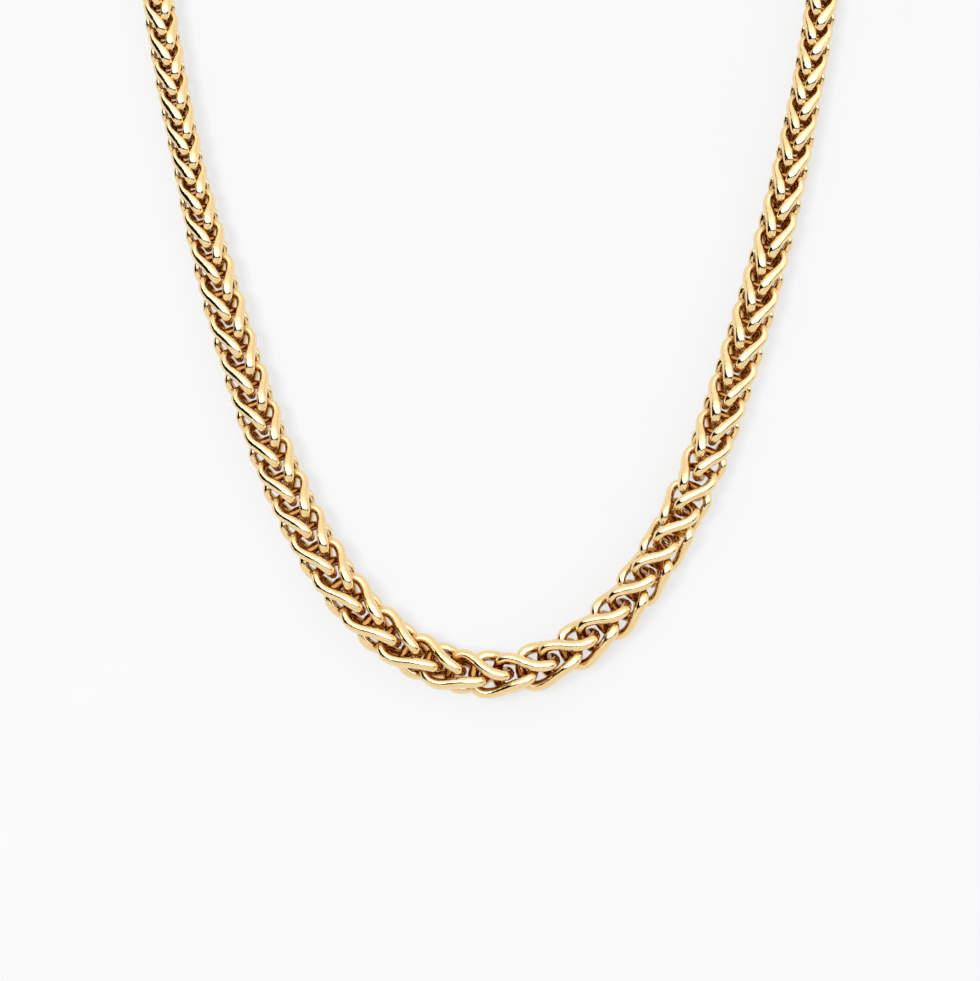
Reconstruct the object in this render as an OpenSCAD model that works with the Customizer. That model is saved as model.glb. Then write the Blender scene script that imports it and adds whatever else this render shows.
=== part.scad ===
// Graduated wheat chain necklace in polished gold, hanging in a vertical plane.
// X runs across, -Y faces the viewer and +Z is up. The origin is the middle of the top of the loop, inside
// the clasp, and the rest hangs below it. Stations are distances along the chain in mm from its lowest
// point, positive towards the right.
//
// A link is an oval ring twisted by about a quarter turn. Its front end crosses the chain from front to
// back and its rear end from side to side, and its two long strokes join them round the outside. Every
// other link is twisted the other way. Each link passes through the two before it, so that the ends of
// the links lie one on another along the middle of the chain, each across the next. The strokes are
// pressed a little flatter and broader than the round wire.

/* [Loop] */
// Length of chain on each side from the lowest point up to the shoulder, where the round back begins
side_length = 128; // [110:1:150]

/* [Links at the bottom] */
// Distance from one link to the next
large_pitch = 3.85; // [3.75:0.05:3.95]
// Width across the chain
large_width = 7.8; // [7.6:0.1:8]

/* [Links at the sides] */
// Distance from one link to the next
medium_pitch = 3.1; // [3:0.05:3.2]
// Width across the chain
medium_width = 6.9; // [6.7:0.05:7.1]

/* [Links at the back] */
// Distance from one link to the next
small_pitch = 2.45; // [2.4:0.05:2.55]
// Width across the chain
small_width = 5.35; // [5.25:0.05:5.5]

/* [Wire] */
// Free space left between a link and the links that it passes through
wire_gap = 0.14; // [0.13:0.01:0.25]
// Angle by which the ends of a link stand off the middle of the chain's faces
end_offset = 10; // [9:1:15]
// Breadth of a stroke at its middle, where the wire is pressed flatter
stroke_breadth = 1.95; // [1.85:0.05:2]

/* [Clasp and ends] */
// Outside diameter of the sleeves over the two ends of the chain
cap_diameter = 6.8; // [6.7:0.1:7.2]
// Length of a sleeve
cap_length = 6.5; // [6:0.1:8]
// Wire of the two plain rings
ring_wire = 1; // [0.8:0.05:1.05]
// Inside diameter of a plain ring
ring_bore = 3.6; // [3.5:0.05:3.8]
// Bore of the eyes on the sleeves and on the clasp
eye_bore = 2.4; // [2.3:0.05:2.8]
// Wire of the clasp's long loop
clasp_wire = 1.8; // [1.5:0.1:1.9]
// Width of the opening in the clasp's long loop
clasp_opening = 2.6; // [2.4:0.1:3.2]

/* [Hidden] */
GOLD = [0.96, 0.77, 0.44];

// The right side of the loop as arcs from the lowest point up to the shoulder
ARC_SHARE = 0;
ARC_TURN = 1;
arcs = [
    // percent of the side's length, turn
    [4.7, 15],
    [7.8, 21],
    [9.4, 17.5],
    [10.9, 10.5],
    [12.5, 7],
    [23.4, 4.5],
    [31.3, 6],
];
function share(percent) = side_length * percent / 100;

// Link 0 sits a little left of the lowest point
first_link = -1.7;

// The pitch and the width of the links, which are counted from link 0. The pitch changes in short steps and
// the width more slowly.
pitches = [
    [-29, small_pitch],
    [-24, medium_pitch],
    [-11, medium_pitch],
    [-6, large_pitch],
    [4, large_pitch],
    [9, medium_pitch],
    [29, medium_pitch],
    [34, small_pitch],
];
widths = [
    [-30, small_width],
    [-23, medium_width],
    [-8, large_width],
    [8, large_width],
    [24, medium_width],
    [36, small_width],
];

// The chain rolls about itself as it goes round the bottom, a quarter turn in all
rolls = [
    // station, angle
    [share(-15), -13],
    [share(-7), -4],
    [share(0), 13],
    [share(6), 19],
    [share(20), 22],
    [share(27), 31],
    [share(38), 67],
    [share(46), 82],
];

// One stroke of a link is two Bezier curves that meet at its middle. Their pulls are shares of the stroke's
// distance from the middle of the chain, and of the link's reach. Beside its middle a stroke stands out
// further by the bulge.
end_pull = 1.3;
side_pull_along = 0.5;
side_pull_around = 0.7;
bulge = 1.07;
wire_sides = 5;
stroke_shares = [0.16, 0.55, 1];
stroke_points = 2 * len(stroke_shares) - 1;
ring_points = 2 * stroke_points;

// How much of the pressed breadth a stroke has at each of its points
swells = [0, 0.8, 1, 0.8, 0];

// A point on the route as [x, z, heading, station], at the end of an arc that starts at another one
function after_arc(p, length, turn) =
    let (r = length / (turn * PI / 180))
    [
        p[0] + r * (sin(p[2] + turn) - sin(p[2])),
        p[1] + r * (cos(p[2]) - cos(p[2] + turn)),
        p[2] + turn,
        p[3] + length
    ];
function after_arcs(p, i) =
    i == len(arcs)
        ? [p]
        : concat([p], after_arcs(after_arc(p, share(arcs[i][ARC_SHARE]), arcs[i][ARC_TURN]), i + 1));

knots = after_arcs([0, 0, 0, 0], 0);
shoulder = knots[len(arcs)];
back_turn = 180 - shoulder[2];
back_radius = shoulder[0] / sin(shoulder[2]);
half_loop = shoulder[3] + back_radius * back_turn * PI / 180;
top_z = shoulder[1] + back_radius * (1 + cos(shoulder[2]));

function arc_length(i) = (i < len(arcs) ? knots[i + 1][3] : half_loop) - knots[i][3];
function arc_turn(i) = i < len(arcs) ? arcs[i][ARC_TURN] : back_turn;
function right_side(s) =
    let (i = max([for (j = [0:len(arcs)]) if (knots[j][3] <= s) j]), part = s - knots[i][3])
    part == 0 ? knots[i] : after_arc(knots[i], part, arc_turn(i) * part / arc_length(i));
function route(s) =
    let (p = right_side(abs(s)))
    s < 0 ? [-p[0], p[1] - top_z, -p[2]] : [p[0], p[1] - top_z, p[2]];

// Directions across the chain count in degrees from its front face towards the inside of the loop
function compass(angle) = [0, cos(angle), sin(angle)];

// A point given as [distance along the chain, towards the front, towards the inside], rolled with the chain
function beside(start, offset) =
    let (
        s = start + offset[0],
        p = route(s),
        roll = lookup(s, rolls),
        forward = offset[1] * cos(roll) + offset[2] * sin(roll),
        inward = offset[2] * cos(roll) - offset[1] * sin(roll)
    )
    [p[0] - inward * sin(p[2]), -forward, p[1] + inward * cos(p[2])];

// Sizes of link i
function pitch(i) = lookup(i, pitches);
function width(i) = lookup(i, widths);
function wire(i) = pitch(i) / 2 - wire_gap;
function stroke_radius(i) = (width(i) - wire(i)) / 2 / bulge;
function twist(i) = i % 2 == 0 ? 1 : -1;
function front_angle(i) = twist(i) * end_offset;
function rear_angle(i) = twist(i) * (90 - end_offset);

// Stations of the pieces that close the loop, from the clasp back to the end of the chain
eye_wire = 0.8;
neck_wire = 1.2;
clasp_bar = clasp_wire + 0.1;
soldered = 0.3;
play = 0.2;
shortest_clasp = clasp_opening + clasp_wire + eye_bore + eye_wire;
eye_to_ring = eye_bore / 2 - ring_wire / 2 - play;
ring_to_clasp = ring_bore + ring_wire / 2 - play;
cap_floor = 0.8;
cap_wall = 0.45;
fastening = shortest_clasp / 2 + ring_to_clasp + eye_to_ring + eye_bore / 2 + eye_wire + cap_floor;

// The ends of all links cross the middle of the chain half a pitch apart, front and rear ends in turn.
// A link takes one place for its rear end and the fifth place after that for its front end. The last place
// leaves room for the fastening.
last_place = half_loop - fastening - small_pitch / 4 - play;
function places(side) = [
    for (
        m = 0, s = side * first_link + pitch(0) / 4;
        s <= last_place;
        s = s + pitch(side * (m + 1) / 2) / 2, m = m + 1
    ) side * s
];
left_places = places(-1);
right_places = places(1);
links_left = floor((len(left_places) - 3) / 2);
links_right = floor((len(right_places) - 3) / 2);
function place(j) = j < 3 ? left_places[2 - j] : right_places[j - 3];
function rear(i) = place(2 * i);
function front(i) = place(2 * i + 5);
function middle(i) = (front(i) + rear(i)) / 2;
function reach(i) = (front(i) - rear(i)) / 2;

function bezier(p, u) =
    pow(1 - u, 3) * p[0] + 3 * pow(1 - u, 2) * u * p[1] + 3 * (1 - u) * u * u * p[2] + pow(u, 3) * p[3];

// Half a stroke of link i, from the middle of its front or rear end to the middle of the stroke. The points
// next to an end are moved out to the end's own place, so that the end is straight.
function half_stroke(i, end, side, shares) =
    let (
        r = stroke_radius(i),
        end_angle = (end > 0 ? front_angle(i) : rear_angle(i)) + side,
        middle_angle = 45 * twist(i) + side,
        pulls = [
            [end, 0, 0],
            [end, 0, 0] + end_pull * compass(end_angle),
            [end * side_pull_along, 0, 0] + compass(middle_angle)
                + side_pull_around * compass(middle_angle - 90 * end * twist(i)),
            compass(middle_angle)
        ],
        straight = end * bezier(pulls, stroke_shares[0])[0]
    )
    [
        for (u = shares)
            let (p = bezier(pulls, u))
            beside(middle(i), [reach(i) * p[0] / straight, r * p[1], r * p[2]])
    ];

// The middle line of a link: one stroke from front to rear, then the other back to the front
function middle_line(i) = concat(
    half_stroke(i, 1, 0, stroke_shares),
    half_stroke(i, -1, 0, [stroke_shares[1], stroke_shares[0]]),
    half_stroke(i, -1, 180, stroke_shares),
    half_stroke(i, 1, 180, [stroke_shares[1], stroke_shares[0]])
);

function unit(v) = v / norm(v);

// Points round the wire at each point of the middle line, the first towards the outside of the link
function link_points(i) =
    let (
        line = middle_line(i),
        centre = beside(middle(i), [0, 0, 0]),
        thick = wire(i) / 2
    )
    [
        for (j = [0:ring_points - 1])
            let (
                along = unit(line[(j + 1) % ring_points] - line[(j + ring_points - 1) % ring_points]),
                out = line[j] - centre,
                across = unit(out - (out * along) * along),
                third = cross(along, across),
                broad = thick + (stroke_breadth / 2 - thick) * swells[j % stroke_points]
            )
            for (m = [0:wire_sides - 1])
                let (a = 360 * m / wire_sides)
                line[j] + thick * cos(a) * across + broad * sin(a) * third
    ];

function link_faces(first) = [
    for (j = [0:ring_points - 1], m = [0:wire_sides - 1])
        let (
            near = first + j * wire_sides,
            far = first + ((j + 1) % ring_points) * wire_sides,
            next = (m + 1) % wire_sides
        )
        each [
            [near + m, far + m, near + next],
            [near + next, far + m, far + next]
        ]
];

// Links from one number to another, each a closed ring of its own
module links(first, last) {
    points = [for (i = [first:last]) each link_points(i)];
    faces = [for (i = [first:last]) each link_faces((i - first) * ring_points * wire_sides)];
    polyhedron(points, faces, convexity = 10);
}

// Puts a piece on the route: its X along the chain, its Z towards the inside of the loop
module on_route(s) {
    p = route(s);
    translate([p[0], 0, p[1]]) rotate([0, -p[2], 0]) children();
}

// A round ring of wire standing in the plane of the necklace
module eye(bore, thickness, turn = 360) {
    rotate([90, 0, 0])
        rotate_extrude(angle = turn, $fn = 64)
            translate([(bore + thickness) / 2, 0]) circle(d = thickness, $fn = 32);
}

// A sleeve ends a little past the last link on its side, -1 for left and 1 for right, and the rest follows
// from it towards the clasp. The distances count from the lowest point.
cap_pin_wire = 0.8;
function last_end(side) = side > 0 ? front(links_right) : -rear(-links_left);
function cap_pin(side) = last_end(side) - small_pitch / 2;
function cap_end(side) = last_end(side) + wire(side * links_right) / 2 + play + cap_floor;
function cap_eye(side) = cap_end(side) + eye_bore / 2 + eye_wire - soldered;
function ring_near(side) = cap_eye(side) + eye_to_ring;
function clasp_reach(side) = half_loop - ring_near(side) - ring_to_clasp;

// A sleeve over the end of the chain, with a pin through the last link and an eye outside
module cap(side, pin_angle) {
    bore = cap_diameter - 2 * cap_wall;
    open_end = cap_length - cap_floor;
    beyond = 1;
    on_route(side * (cap_end(side) - cap_length / 2)) rotate([0, side * 90, 0])
        difference() {
            cylinder(d = cap_diameter, h = cap_length, center = true, $fn = 96);
            translate([0, 0, -cap_length / 2 - beyond])
                cylinder(d = bore, h = open_end + beyond, $fn = 96);
        }
    on_route(side * cap_pin(side)) rotate([90 - pin_angle, 0, 0])
        cylinder(d = cap_pin_wire, h = cap_diameter - cap_wall, center = true, $fn = 32);
    on_route(side * cap_eye(side)) eye(eye_bore, eye_wire);
}

module cap_left() {
    color(GOLD) cap(-1, front_angle(links_left) - lookup(-cap_pin(-1), rolls));
}

module cap_right() {
    color(GOLD) cap(1, rear_angle(links_right) - lookup(cap_pin(1), rolls));
}

// A plain ring lying across the plane of the necklace
module plain_ring(side) {
    middle = ring_near(side) + (ring_bore + ring_wire) / 2;
    on_route(side * middle) rotate([90, 0, 0]) eye(ring_bore, ring_wire);
}

module ring_left() {
    color(GOLD) plain_ring(-1);
}

module ring_right() {
    color(GOLD) plain_ring(1);
}

// One plain piece: a long closed loop on the right and a small eye on the left. The straight sides of the
// loop are a little thicker than its bends, whose ends they take in.
module clasp() {
    loop_radius = (clasp_opening + clasp_wire) / 2;
    eye_middle = eye_bore / 2 - clasp_reach(-1);
    near_bend = eye_middle + eye_bore / 2 + eye_wire - soldered + clasp_wire + clasp_opening / 2;
    far_bend = clasp_reach(1) - clasp_opening / 2;
    neck_start = eye_middle + (eye_bore + eye_wire) / 2;
    neck_end = near_bend - loop_radius;
    color(GOLD) {
        translate([near_bend, 0, 0]) rotate([0, -90, 0]) eye(clasp_opening, clasp_wire, 180);
        translate([far_bend, 0, 0]) rotate([0, 90, 0]) eye(clasp_opening, clasp_wire, 180);
        for (side = [-1, 1])
            translate([near_bend - soldered, 0, side * loop_radius]) rotate([0, 90, 0])
                cylinder(d = clasp_bar, h = far_bend - near_bend + 2 * soldered, $fn = 32);
        translate([neck_start, 0, 0]) rotate([0, 90, 0])
            cylinder(d = neck_wire, h = neck_end - neck_start, $fn = 32);
        translate([eye_middle, 0, 0]) eye(eye_bore, eye_wire);
    }
}

module chain_left() {
    color(GOLD) links(-links_left, -1);
}

module chain_right() {
    color(GOLD) links(0, links_right);
}

chain_left();
chain_right();
cap_left();
cap_right();
ring_left();
ring_right();
clasp();
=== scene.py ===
# %% [markdown]
# # A graduated wheat chain necklace
# A wheat chain is a rope of twisted oval links. Each link passes through the two before it, and the long
# strokes of their wire lie over each other like the grains of an ear of wheat. The necklace hangs in front of
# a pale wall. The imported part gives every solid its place. This lesson adds finer links of round wire, polished
# gold and the light of a small product studio.

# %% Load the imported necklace
import math
import bpy
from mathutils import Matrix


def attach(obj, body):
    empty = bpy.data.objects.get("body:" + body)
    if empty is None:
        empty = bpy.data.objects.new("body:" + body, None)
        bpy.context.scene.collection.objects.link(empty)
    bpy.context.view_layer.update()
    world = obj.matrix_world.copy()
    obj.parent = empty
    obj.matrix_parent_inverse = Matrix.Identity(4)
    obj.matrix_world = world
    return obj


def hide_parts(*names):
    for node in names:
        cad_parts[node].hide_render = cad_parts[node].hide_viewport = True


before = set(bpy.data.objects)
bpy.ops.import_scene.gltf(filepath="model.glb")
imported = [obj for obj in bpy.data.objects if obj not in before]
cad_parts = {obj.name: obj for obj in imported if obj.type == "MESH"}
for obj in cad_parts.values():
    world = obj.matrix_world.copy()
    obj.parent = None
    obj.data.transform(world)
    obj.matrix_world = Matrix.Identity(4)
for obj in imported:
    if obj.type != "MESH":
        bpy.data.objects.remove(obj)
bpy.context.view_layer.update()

print("nodes:", sorted(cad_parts))

# %% [markdown]
# ## Small helpers
# An operator in Blender acts on all that is selected, so the first helper clears the selection and takes up
# the pieces that it is given. The others name a new piece, apply all its modifiers, and put its place into its
# mesh.

# %% Helpers for operators
MM = 0.001


def take(*pieces):
    if bpy.context.object and bpy.context.object.mode != "OBJECT":
        bpy.ops.object.mode_set(mode="OBJECT")
    bpy.ops.object.select_all(action="DESELECT")
    for piece in pieces:
        piece.select_set(True)
    bpy.context.view_layer.objects.active = pieces[0]


def named(name):
    piece = bpy.context.object
    piece.name = name
    piece.data.name = name
    return piece


def apply_modifiers(piece):
    take(piece)
    for modifier in list(piece.modifiers):
        bpy.ops.object.modifier_apply(modifier=modifier.name)


def rest_at_origin(piece):
    take(piece)
    bpy.ops.object.transform_apply(location=True, rotation=True, scale=True)


bpy.ops.object.select_all(action="DESELECT")
print("nothing is selected:", not bpy.context.selected_objects)

# %% [markdown]
# ## Camera
# The photograph looks straight at the wall with a long lens, and its top edge cuts the loop about a third of
# the way down. The lens and the distance make the picture 158 mm high at the chain, as measured on the
# photograph.

# %% Camera in front of the lower part of the loop
PICTURE_HEIGHT = 158.2 * MM
PICTURE_MIDDLE = -140.4 * MM
LENS = 100
SENSOR = 36
distance = PICTURE_HEIGHT * LENS / SENSOR
bpy.ops.object.camera_add(location=(0, -distance, PICTURE_MIDDLE), rotation=(math.pi / 2, 0, 0))
camera = named("camera")
camera.data.lens = LENS
camera.data.clip_start = 0.01
bpy.context.scene.camera = camera
print("camera at", [round(v, 3) for v in camera.location])

# %% [markdown]
# ## The line of the necklace
# A hanging chain bends most at its lowest point and straightens towards the neck. Seven arcs on each side
# follow it up to the shoulder, and one more closes the round back. A Bezier curve with a point every few
# millimetres carries that line. Its tilt is the chain's roll about itself: a quarter turn round the bottom.

# %% Arcs and rolls of the line, as in the part's source
SIDE = 128 * MM
ARCS = [(4.7, 15), (7.8, 21), (9.4, 17.5), (10.9, 10.5), (12.5, 7), (23.4, 4.5), (31.3, 6)]
ROLLS = [(-15, -13), (-7, -4), (0, 13), (6, 19), (20, 22), (27, 31), (38, 67), (46, 82)]


def between(x, table):
    if x <= table[0][0]:
        return table[0][1]
    for (x0, y0), (x1, y1) in zip(table, table[1:]):
        if x <= x1:
            return y0 + (y1 - y0) * (x - x0) / (x1 - x0)
    return table[-1][1]


def after_arc(point, length, turn):
    x, z, heading, station = point
    radius = length / turn
    return (x + radius * (math.sin(heading + turn) - math.sin(heading)),
            z + radius * (math.cos(heading) - math.cos(heading + turn)), heading + turn, station + length)


arcs = [(SIDE * share / 100, math.radians(turn)) for share, turn in ARCS]
knots = [(0, 0, 0, 0)]
for length, turn in arcs:
    knots.append(after_arc(knots[-1], length, turn))
shoulder_x, shoulder_z, shoulder_heading, shoulder_station = knots[-1]
back_turn = math.pi - shoulder_heading
back_radius = shoulder_x / math.sin(shoulder_heading)
arcs.append((back_radius * back_turn, back_turn))
half_loop = shoulder_station + back_radius * back_turn
top = shoulder_z + back_radius * (1 + math.cos(shoulder_heading))
print(f"half of the loop is {half_loop / MM:.1f} mm long and {top / MM:.1f} mm high")


# %% The line as a curve with tilt
def route(station):
    s = abs(station)
    i = max(j for j in range(len(arcs)) if knots[j][3] <= s + 1e-9)
    part = (s - knots[i][3]) / arcs[i][0]
    x, z, heading, _ = after_arc(knots[i], *[v * part for v in arcs[i]]) if part > 1e-6 else knots[i]
    side = -1 if station < 0 else 1
    return side * x, z - top, side * heading


def roll(station):
    return math.radians(between(100 * station / SIDE, ROLLS))


LONGEST_STEP = 6 * MM
stations = [0.0]
for knot, (length, turn) in zip(knots, arcs):
    steps = math.ceil(length / LONGEST_STEP)
    stations += [knot[3] + length * k / steps for k in range(1, steps + 1)]
stations = [-s for s in reversed(stations[1:])] + stations

bpy.ops.curve.primitive_bezier_curve_add()
line = named("line_of_the_chain")
spline = line.data.splines[0]
spline.bezier_points.add(len(stations) - 2)
spline.tilt_interpolation = "LINEAR"
line.data.twist_mode = "MINIMUM"
for i, (s, point) in enumerate(zip(stations, spline.bezier_points)):
    x, z, heading = route(s)
    before = (s - stations[max(i - 1, 0)]) / 3
    after = (stations[min(i + 1, len(stations) - 1)] - s) / 3
    point.handle_left_type = point.handle_right_type = "FREE"
    point.co = (x, 0, z)
    point.handle_left = (x - before * math.cos(heading), 0, z - before * math.sin(heading))
    point.handle_right = (x + after * math.cos(heading), 0, z + after * math.sin(heading))
    point.tilt = roll(s) + math.pi
print(f"{len(stations)} points, {spline.calc_length() / MM:.1f} mm")

# %% [markdown]
# ## Where the links sit
# The links are largest round the bottom, medium on the sides and small at the back. Two tables give their
# pitch and their width by the number of the link. The ends of all links cross the middle of the chain half a
# pitch apart. A link takes one of these places for its rear end and the fifth place after it for its front
# end, so that other links cross in between. Its wire is half a pitch thick, less a small gap that keeps the
# links clear of each other, and its strokes stand out a little further beside their middles, by the bulge.

# %% Sizes and places of the links
SMALL, MEDIUM, LARGE = 2.45 * MM, 3.1 * MM, 3.85 * MM
PITCHES = [(-29, SMALL), (-24, MEDIUM), (-11, MEDIUM), (-6, LARGE),
           (4, LARGE), (9, MEDIUM), (29, MEDIUM), (34, SMALL)]
NARROW, MIDDLING, WIDE = 5.35 * MM, 6.9 * MM, 7.8 * MM
WIDTHS = [(-30, NARROW), (-23, MIDDLING), (-8, WIDE), (8, WIDE), (24, MIDDLING), (36, NARROW)]
FIRST_LINK = -1.7 * MM
LINKS_LEFT, LINKS_RIGHT = 73, 74
PLACES_ACROSS = 5
FIRST_ON_THE_RIGHT = 3
BULGE = 1.07
WIRE_GAP = 0.14 * MM
STROKE_BREADTH = 1.86 * MM


def places_on(side, links):
    places = [side * FIRST_LINK + between(0, PITCHES) / 4]
    while len(places) < 2 * links + FIRST_ON_THE_RIGHT:
        places.append(places[-1] + between(side * len(places) / 2, PITCHES) / 2)
    return [side * s for s in places]


left_places = places_on(-1, LINKS_LEFT)
right_places = places_on(1, LINKS_RIGHT)


def place(j):
    steps = j - FIRST_ON_THE_RIGHT
    return right_places[steps] if steps >= 0 else left_places[-1 - steps]


def link_size(i):
    wire = between(i, PITCHES) / 2 - WIRE_GAP
    rear, front = place(2 * i), place(2 * i + PLACES_ACROSS)
    return (front + rear) / 2, (front - rear) / 2, (between(i, WIDTHS) - wire) / 2 / BULGE, wire


print("middle, reach, radius and wire of link 0:", [round(v / MM, 2) for v in link_size(0)])

# %% [markdown]
# ## One link
# A maker winds wire on an oval rod, cuts the rings, twists each one by almost a quarter turn and solders it
# shut. Here a Bezier circle is that ring. Its four points are the two ends and the middles of the two strokes,
# and the handles give the twist. A round bevel is the wire, and a point's radius makes it thicker or thinner.
# Every second link is twisted the other way.

# %% The ring of one link
END_OFFSET = 10
END_PULL = 1.3
SIDE_PULL_ALONG = 0.5
SIDE_PULL_AROUND = 0.7
ROUNDNESS = 3
SECTION_POINTS = 4 + 2 * ROUNDNESS


def compass(angle, size=1):
    return 0, -size * math.cos(math.radians(angle)), size * math.sin(math.radians(angle))


def add(*vectors):
    return tuple(map(sum, zip(*vectors)))


def ring_points(twist):
    front, rear, belly = twist * END_OFFSET, twist * (90 - END_OFFSET), twist * 45
    lean = belly - 90 * twist
    return [
        [(1, 0, 0), compass(front + 180, END_PULL), compass(front, END_PULL)],
        [compass(belly), add((SIDE_PULL_ALONG, 0, 0), compass(lean, SIDE_PULL_AROUND)),
         add((-SIDE_PULL_ALONG, 0, 0), compass(lean + 180, SIDE_PULL_AROUND))],
        [(-1, 0, 0), compass(rear, END_PULL), compass(rear + 180, END_PULL)],
        [compass(belly + 180), add((-SIDE_PULL_ALONG, 0, 0), compass(lean, SIDE_PULL_AROUND)),
         add((SIDE_PULL_ALONG, 0, 0), compass(lean + 180, SIDE_PULL_AROUND))],
    ]


def shape_ring(ring, twist, middle, reach, radius, wire):
    scale = (reach, radius, radius)
    for i, (co, left, right) in enumerate(ring_points(twist)):
        point = ring.data.splines[0].bezier_points[i]
        point.handle_left_type = point.handle_right_type = "FREE"
        co, left, right = [tuple(v * k for v, k in zip(vector, scale)) for vector in (co, left, right)]
        co = add(co, (middle, 0, 0))
        point.co, point.handle_left, point.handle_right = co, add(co, left), add(co, right)
        point.radius = (STROKE_BREADTH if i % 2 else wire) / 2


bpy.ops.curve.primitive_bezier_circle_add()
first_ring = named("ring")
first_ring.data.dimensions = "3D"
first_ring.data.resolution_u = 4
first_ring.data.bevel_depth = 1
first_ring.data.bevel_resolution = ROUNDNESS
print("points of a ring:", len(first_ring.data.splines[0].bezier_points), "and of a section:", SECTION_POINTS)

# %% [markdown]
# ## The chain
# A finished chain is pulled through a round die, which presses its strokes flatter and broader. So each
# stroke first gets the full breadth as a round wire, and its cross sections are then squeezed towards the
# middle of the chain until they have the thickness of the wire again. All rings are laid out along a straight
# line, joined, turned into a mesh and bent round the necklace by a Curve modifier. That keeps the strokes
# smooth where the chain rolls, which bending single links would not.

# %% Broaden the strokes of all rings
BREADTH_NEAR_ENDS = 0.8


def broaden_strokes(rings):
    bpy.ops.object.mode_set(mode="EDIT")
    bpy.ops.curve.select_all(action="SELECT")
    bpy.ops.curve.subdivide(number_cuts=1)
    bpy.ops.object.mode_set(mode="OBJECT")
    for spline in rings.data.splines:
        points = spline.bezier_points
        for front_or_rear in (0, 4):
            end, stroke = points[front_or_rear].radius, points[front_or_rear + 2].radius
            for beside in (points[front_or_rear - 1], points[front_or_rear + 1]):
                beside.radius = end + (stroke - end) * BREADTH_NEAR_ENDS


# %% Press the strokes flatter and mark how far out they lie, for the painted shade of the gold
def press_strokes(chain, numbers):
    marks = chain.data.attributes.new("outward", "FLOAT", "POINT")
    points = chain.data.vertices
    for start in range(0, len(points), SECTION_POINTS):
        link = numbers[start * len(numbers) // len(points)]
        section = range(start, start + SECTION_POINTS)
        x, y, z = [sum(points[i].co[axis] for i in section) / SECTION_POINTS for axis in range(3)]
        thickness = 2 * math.dist(points[start].co, (x, y, z))
        too_thick = max(0, 1 - link_size(link)[3] / thickness)
        out = math.hypot(y, z) or 1
        for i in section:
            point = points[i].co
            press = too_thick * ((point.y - y) * y + (point.z - z) * z) / out
            points[i].co = (point.x, point.y - press * y / out, point.z - press * z / out)
            marks.data[i].value = 2 * math.hypot(points[i].co.y, points[i].co.z) / between(link, WIDTHS)


# %% Lay out the rings and bend them
def lay_chain(name, numbers):
    rings = []
    for i in numbers:
        ring = first_ring.copy()
        ring.data = first_ring.data.copy()
        bpy.context.collection.objects.link(ring)
        middle, reach, radius, wire = link_size(i)
        shape_ring(ring, 1 if i % 2 == 0 else -1, middle + half_loop, reach, radius, wire)
        rings.append(ring)
    take(*rings)
    bpy.ops.object.join()
    broaden_strokes(bpy.context.object)
    bpy.ops.object.convert(target="MESH")
    chain = named(name)
    press_strokes(chain, numbers)
    bend = chain.modifiers.new("bend", "CURVE")
    bend.object = line
    bend.deform_axis = "POS_X"
    apply_modifiers(chain)
    bpy.ops.object.mode_set(mode="EDIT")
    bpy.ops.mesh.select_all(action="SELECT")
    bpy.ops.mesh.normals_make_consistent(inside=False)
    bpy.ops.object.mode_set(mode="OBJECT")
    bpy.ops.object.shade_smooth()
    print(name, len(rings), "links,", len(chain.data.polygons), "faces")
    return chain


chain_left = lay_chain("links_left", range(-LINKS_LEFT, 0))
chain_right = lay_chain("links_right", range(0, LINKS_RIGHT + 1))
for scaffold in (first_ring, line):
    bpy.data.objects.remove(scaffold)
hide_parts("chain_left")
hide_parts("chain_right")
for chain in (chain_left, chain_right):
    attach(chain, "root")

# %% [markdown]
# ## Shader maths
# Node trees are easier to read as formulas. A value wraps one socket, and the usual signs add Math nodes.

# %% Formulas for node trees
class Value:
    def __init__(self, tree, socket):
        self.tree, self.socket = tree, socket

    def math(self, operation, *others):
        return Paint(self.tree).node("ShaderNodeMath", {"operation": operation}, [self, *others])

    def __add__(self, other): return self.math("ADD", other)
    def __radd__(self, other): return self.math("ADD", other)
    def __mul__(self, other): return self.math("MULTIPLY", other)
    def __rmul__(self, other): return self.math("MULTIPLY", other)
    def __sub__(self, other): return self.math("SUBTRACT", other)

    def __rsub__(self, other):
        return Paint(self.tree).node("ShaderNodeMath", {"operation": "SUBTRACT"}, [other, self])


class Paint:
    def __init__(self, tree):
        self.tree = tree

    def node(self, kind, settings=None, sockets=(), output=0):
        made = self.tree.nodes.new(kind)
        for setting, value in (settings or {}).items():
            if setting == "stops":
                while len(made.color_ramp.elements) < len(value):
                    made.color_ramp.elements.new(1)
                for stop, (position, colour) in zip(made.color_ramp.elements, value):
                    stop.position, stop.color = position, colour
            else:
                setattr(made, setting, value)
        pairs = sockets.items() if isinstance(sockets, dict) else enumerate(sockets)
        for socket, value in pairs:
            if isinstance(value, Value):
                self.tree.links.new(value.socket, made.inputs[socket])
            else:
                made.inputs[socket].default_value = value
        return Value(self.tree, made.outputs[output]) if made.outputs else None


def new_finish(name):
    finish = bpy.data.materials.new(name)
    finish.use_nodes = True
    finish.node_tree.nodes.clear()
    return finish, Paint(finish.node_tree)
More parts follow.
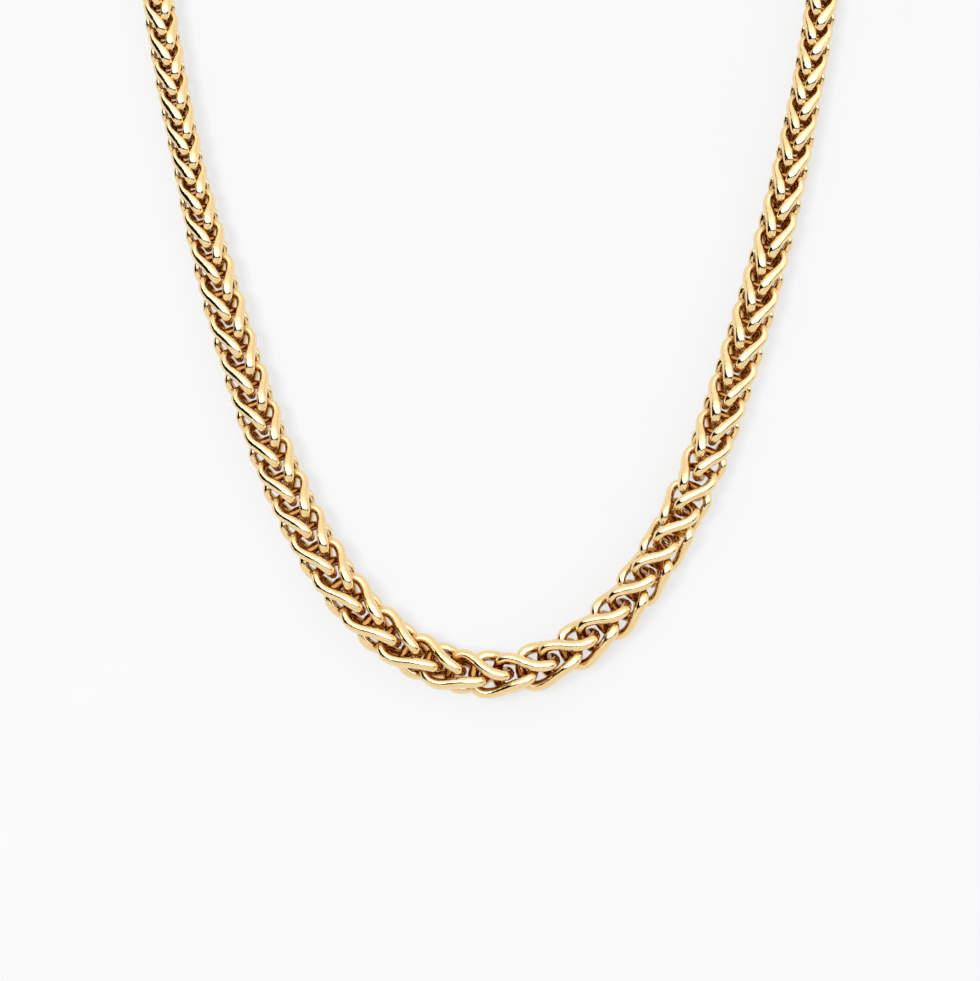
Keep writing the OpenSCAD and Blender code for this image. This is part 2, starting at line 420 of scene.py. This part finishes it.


# %% [markdown]
# ## Polished gold
# Warm yellow gold is all reflection: a metal with a very low roughness. Handling leaves faint hairlines and
# small soft patches, which a fine noise puts into the roughness, and pressed wire has a slight waviness in its
# surface. The colour shifts a little between the cleaner and the more worn places. Deep inside the chain the
# wire gets a painted shade: a deeper brown in its colour, for light that has gone from gold to gold many times
# there. The mark that was made while pressing the strokes says how far out a place lies.

# %% The gold of the links and of the clasp
PATCH_SCALE, HAIRLINE_SCALE = 460.0, 4200.0
PATCH_ROUGHNESS, HAIRLINE_ROUGHNESS = 0.06, 0.04
HAIRLINE_HEIGHT = 0.12
WAVES, WAVE_STRENGTH = 0.15 * MM, 0.7
DEEP, OUTSIDE = 0.45, 0.85
# The last colour is a painted shade: the deeper brown painted deep inside the chain.
CLEAN_GOLD, WORN_GOLD, PAINTED_SHADE_GOLD = (0.95, 0.74, 0.41, 1), (0.90, 0.67, 0.34, 1), (0.44, 0.20, 0.045, 1)
CLEAN_CLASP, WORN_CLASP = (0.94, 0.73, 0.40, 1), (0.88, 0.65, 0.32, 1)


def polished_gold(name, clean, worn, roughness, painted_shade=None):
    finish, paint = new_finish(name)
    where = paint.node("ShaderNodeTexCoord", output="Object")
    patches = paint.node("ShaderNodeTexNoise", {}, {"Vector": where, "Scale": PATCH_SCALE, "Detail": 2.0})
    hairlines = paint.node("ShaderNodeTexNoise", {}, {"Vector": where, "Scale": HAIRLINE_SCALE, "Detail": 2.0})
    colour = paint.node("ShaderNodeMix", {"data_type": "RGBA"}, {0: patches, 6: clean, 7: worn}, output=2)
    # Painted shade: towards the middle of the chain the colour turns to the deeper brown.
    if painted_shade:
        outward = paint.node("ShaderNodeAttribute", {"attribute_name": "outward"}, output="Fac")
        depth = paint.node("ShaderNodeMapRange", {"interpolation_type": "SMOOTHSTEP"},
                           {"Value": outward, "From Min": DEEP, "From Max": OUTSIDE})
        colour = paint.node("ShaderNodeMix", {"data_type": "RGBA"}, {0: depth, 6: painted_shade, 7: colour}, output=2)
    bumps = paint.node("ShaderNodeBump", {}, {
        "Height": patches + hairlines * HAIRLINE_HEIGHT, "Strength": WAVE_STRENGTH, "Distance": WAVES})
    shader = paint.node("ShaderNodeBsdfPrincipled", {}, {
        "Base Color": colour, "Metallic": 1.0,
        "Roughness": patches * PATCH_ROUGHNESS + hairlines * HAIRLINE_ROUGHNESS + roughness,
        "Normal": bumps})
    paint.node("ShaderNodeOutputMaterial", {}, [shader])
    return finish


# The links get the painted shade deep inside the chain; the clasp gets none.
chain_gold = polished_gold("polished_gold", CLEAN_GOLD, WORN_GOLD, roughness=0.02, painted_shade=PAINTED_SHADE_GOLD)
clasp_gold = polished_gold("plain_gold", CLEAN_CLASP, WORN_CLASP, roughness=0.08)


def give(piece, finish):
    piece.data.materials.clear()
    piece.data.materials.append(finish)


give(chain_left, chain_gold)
give(chain_right, chain_gold)

# %% Gold on the pieces that close the loop
for name in ("cap_left", "cap_right", "ring_left", "ring_right", "clasp"):
    give(bpy.data.objects[name], clasp_gold)

# %% [markdown]
# ## Wall and floor
# The chain hangs close to a pale wall that glows almost white. Its back is clear, so that the chain can be
# looked at from behind as well.

# %% The finish of the wall and the floor
WARM_WHITE = (1, 0.994, 0.972, 1)
GREY, PALER_GREY = (0.10, 0.10, 0.10, 1), (0.11, 0.11, 0.11, 1)


def wall_finish(name, glow):
    finish, paint = new_finish(name)
    where = paint.node("ShaderNodeTexCoord", output="Object")
    grain = paint.node("ShaderNodeTexNoise", {}, {"Vector": where, "Scale": 60.0, "Detail": 4.0})
    colour = paint.node("ShaderNodeMix", {"data_type": "RGBA"}, {0: grain, 6: GREY, 7: PALER_GREY}, output=2)
    shader = paint.node("ShaderNodeBsdfPrincipled", {}, {
        "Base Color": colour, "Roughness": 0.9, "Emission Color": WARM_WHITE, "Emission Strength": glow})
    from_behind = paint.node("ShaderNodeNewGeometry", output="Backfacing")
    clear = paint.node("ShaderNodeBsdfTransparent")
    one_sided = paint.node("ShaderNodeMixShader", {}, [from_behind, shader, clear])
    paint.node("ShaderNodeOutputMaterial", {}, [one_sided])
    return finish


# %% The wall and the floor
ROOM_SIZE = 2.4
WALL_BEHIND = 5 * MM
FLOOR_BELOW = 0.6
GLOW = 0.70
bpy.ops.mesh.primitive_plane_add(size=ROOM_SIZE, location=(0, WALL_BEHIND, 0), rotation=(math.pi / 2, 0, 0))
wall = named("wall")
bpy.ops.mesh.primitive_plane_add(size=ROOM_SIZE, location=(0, 0, -FLOOR_BELOW))
floor = named("floor")
for surface in (wall, floor):
    rest_at_origin(surface)
    give(surface, wall_finish("pale_" + surface.name, GLOW))
print("stage:", wall.name, floor.name)

# %% [markdown]
# ## Light
# One soft light from the upper left throws a faint shadow on the wall to the lower right. The gold shows the
# room instead: a broad bright bank in front and above for the cream highlights, pale walls all round, and two
# dark gaps for the black lines that make polished metal look hard. The first gap lies a little below the
# camera. The second one lies to the lower left, as a black screen would, and goes down to the wall. Both are
# angles of direction, so the room needs no pieces. As a share of a full turn, 0.25 is straight down, 0.5
# straight out from the wall and 0.75 straight up. Only the gold sees the room: past the wall and the floor the
# background is plain and pale.

# %% A soft light for the shadow
def soft_light(name, location, target, size, power):
    bpy.ops.object.light_add(type="AREA", location=location)
    light = named(name)
    light.data.size = size
    light.data.energy = power
    way = [t - p for t, p in zip(target, location)]
    across = math.hypot(way[0], way[1])
    light.rotation_euler = (math.atan2(across, -way[2]), 0, math.atan2(-way[0], way[1]))
    return light


LIGHT_PLACE = (-0.29, -1.0, PICTURE_MIDDLE + 0.05)
shadow_light = soft_light("shadow_from_the_left", LIGHT_PLACE, (0, 0, PICTURE_MIDDLE), size=0.28, power=13)
shadow_light.visible_glossy = False
print("light at", [round(v, 2) for v in shadow_light.location])

# %% The room that the gold reflects
DARK = (0.01, 0.008, 0.006, 1)
DIM, BRIGHT_FLOOR, BRIGHT_WALL = (0.6, 0.55, 0.5, 1), (1.4, 1.36, 1.3, 1), (1.35, 1.32, 1.27, 1)
UPPER_WALL, CEILING = (1.2, 1.17, 1.12, 1), (0.9, 0.85, 0.8, 1)
CREAM = (1.95, 2.1, 2.8, 1)
CLEAR, FULL = (0, 0, 0, 1), (1, 1, 1, 1)
PALE = (0.9, 0.9, 0.89, 1)
world = bpy.data.worlds.new("studio_room")
bpy.context.scene.world = world
world.use_nodes = True
world.node_tree.nodes.clear()
room = Paint(world.node_tree)
direction = room.node("ShaderNodeTexCoord", output="Generated")
x, y, z = [room.node("ShaderNodeSeparateXYZ", {}, [direction], output=axis) for axis in "XYZ"]


def turned(towards):
    return towards.math("ARCTAN2", y * -1) * (0.5 / math.pi) + 0.5


height = turned(z)
walls = room.node("ShaderNodeValToRGB", {"stops": [
    (0, DIM), (0.25, DIM), (0.35, BRIGHT_FLOOR), (0.365, DARK), (0.458, DARK), (0.47, BRIGHT_WALL),
    (0.62, UPPER_WALL), (0.75, CEILING)]}, [height])
bank = room.node("ShaderNodeValToRGB", {"stops": [
    (0.458, CLEAR), (0.472, FULL), (0.56, (0.8, 0.8, 0.8, 1)), (0.66, CLEAR)]}, [height])
bank_width = room.node("ShaderNodeMapRange", {"interpolation_type": "SMOOTHSTEP"},
                       {"Value": x.math("ABSOLUTE"), "From Min": 0.95, "From Max": 0.6})
lit_room = room.node("ShaderNodeMix", {"data_type": "RGBA"},
                     {0: bank * bank_width, 6: walls, 7: CREAM}, output=2)
open_side = room.node("ShaderNodeValToRGB", {"stops": [
    (0.546, FULL), (0.554, CLEAR), (0.75, CLEAR), (0.77, FULL)]}, [turned(x * -0.5 - z * 0.85)])
brightness = room.node("ShaderNodeMix", {"data_type": "RGBA"},
                       {0: open_side, 6: DARK, 7: lit_room}, output=2)
background = room.node("ShaderNodeBackground", {}, {"Color": brightness, "Strength": 1.0})
plain = room.node("ShaderNodeBackground", {}, {"Color": PALE, "Strength": 1.0})
seen_directly = room.node("ShaderNodeLightPath", output="Is Camera Ray")
backdrop = room.node("ShaderNodeMixShader", {}, [seen_directly, background, plain])
room.node("ShaderNodeOutputWorld", {}, [backdrop])
bpy.context.scene.view_settings.view_transform = "Standard"
print("nodes of the room:", len(world.node_tree.nodes))
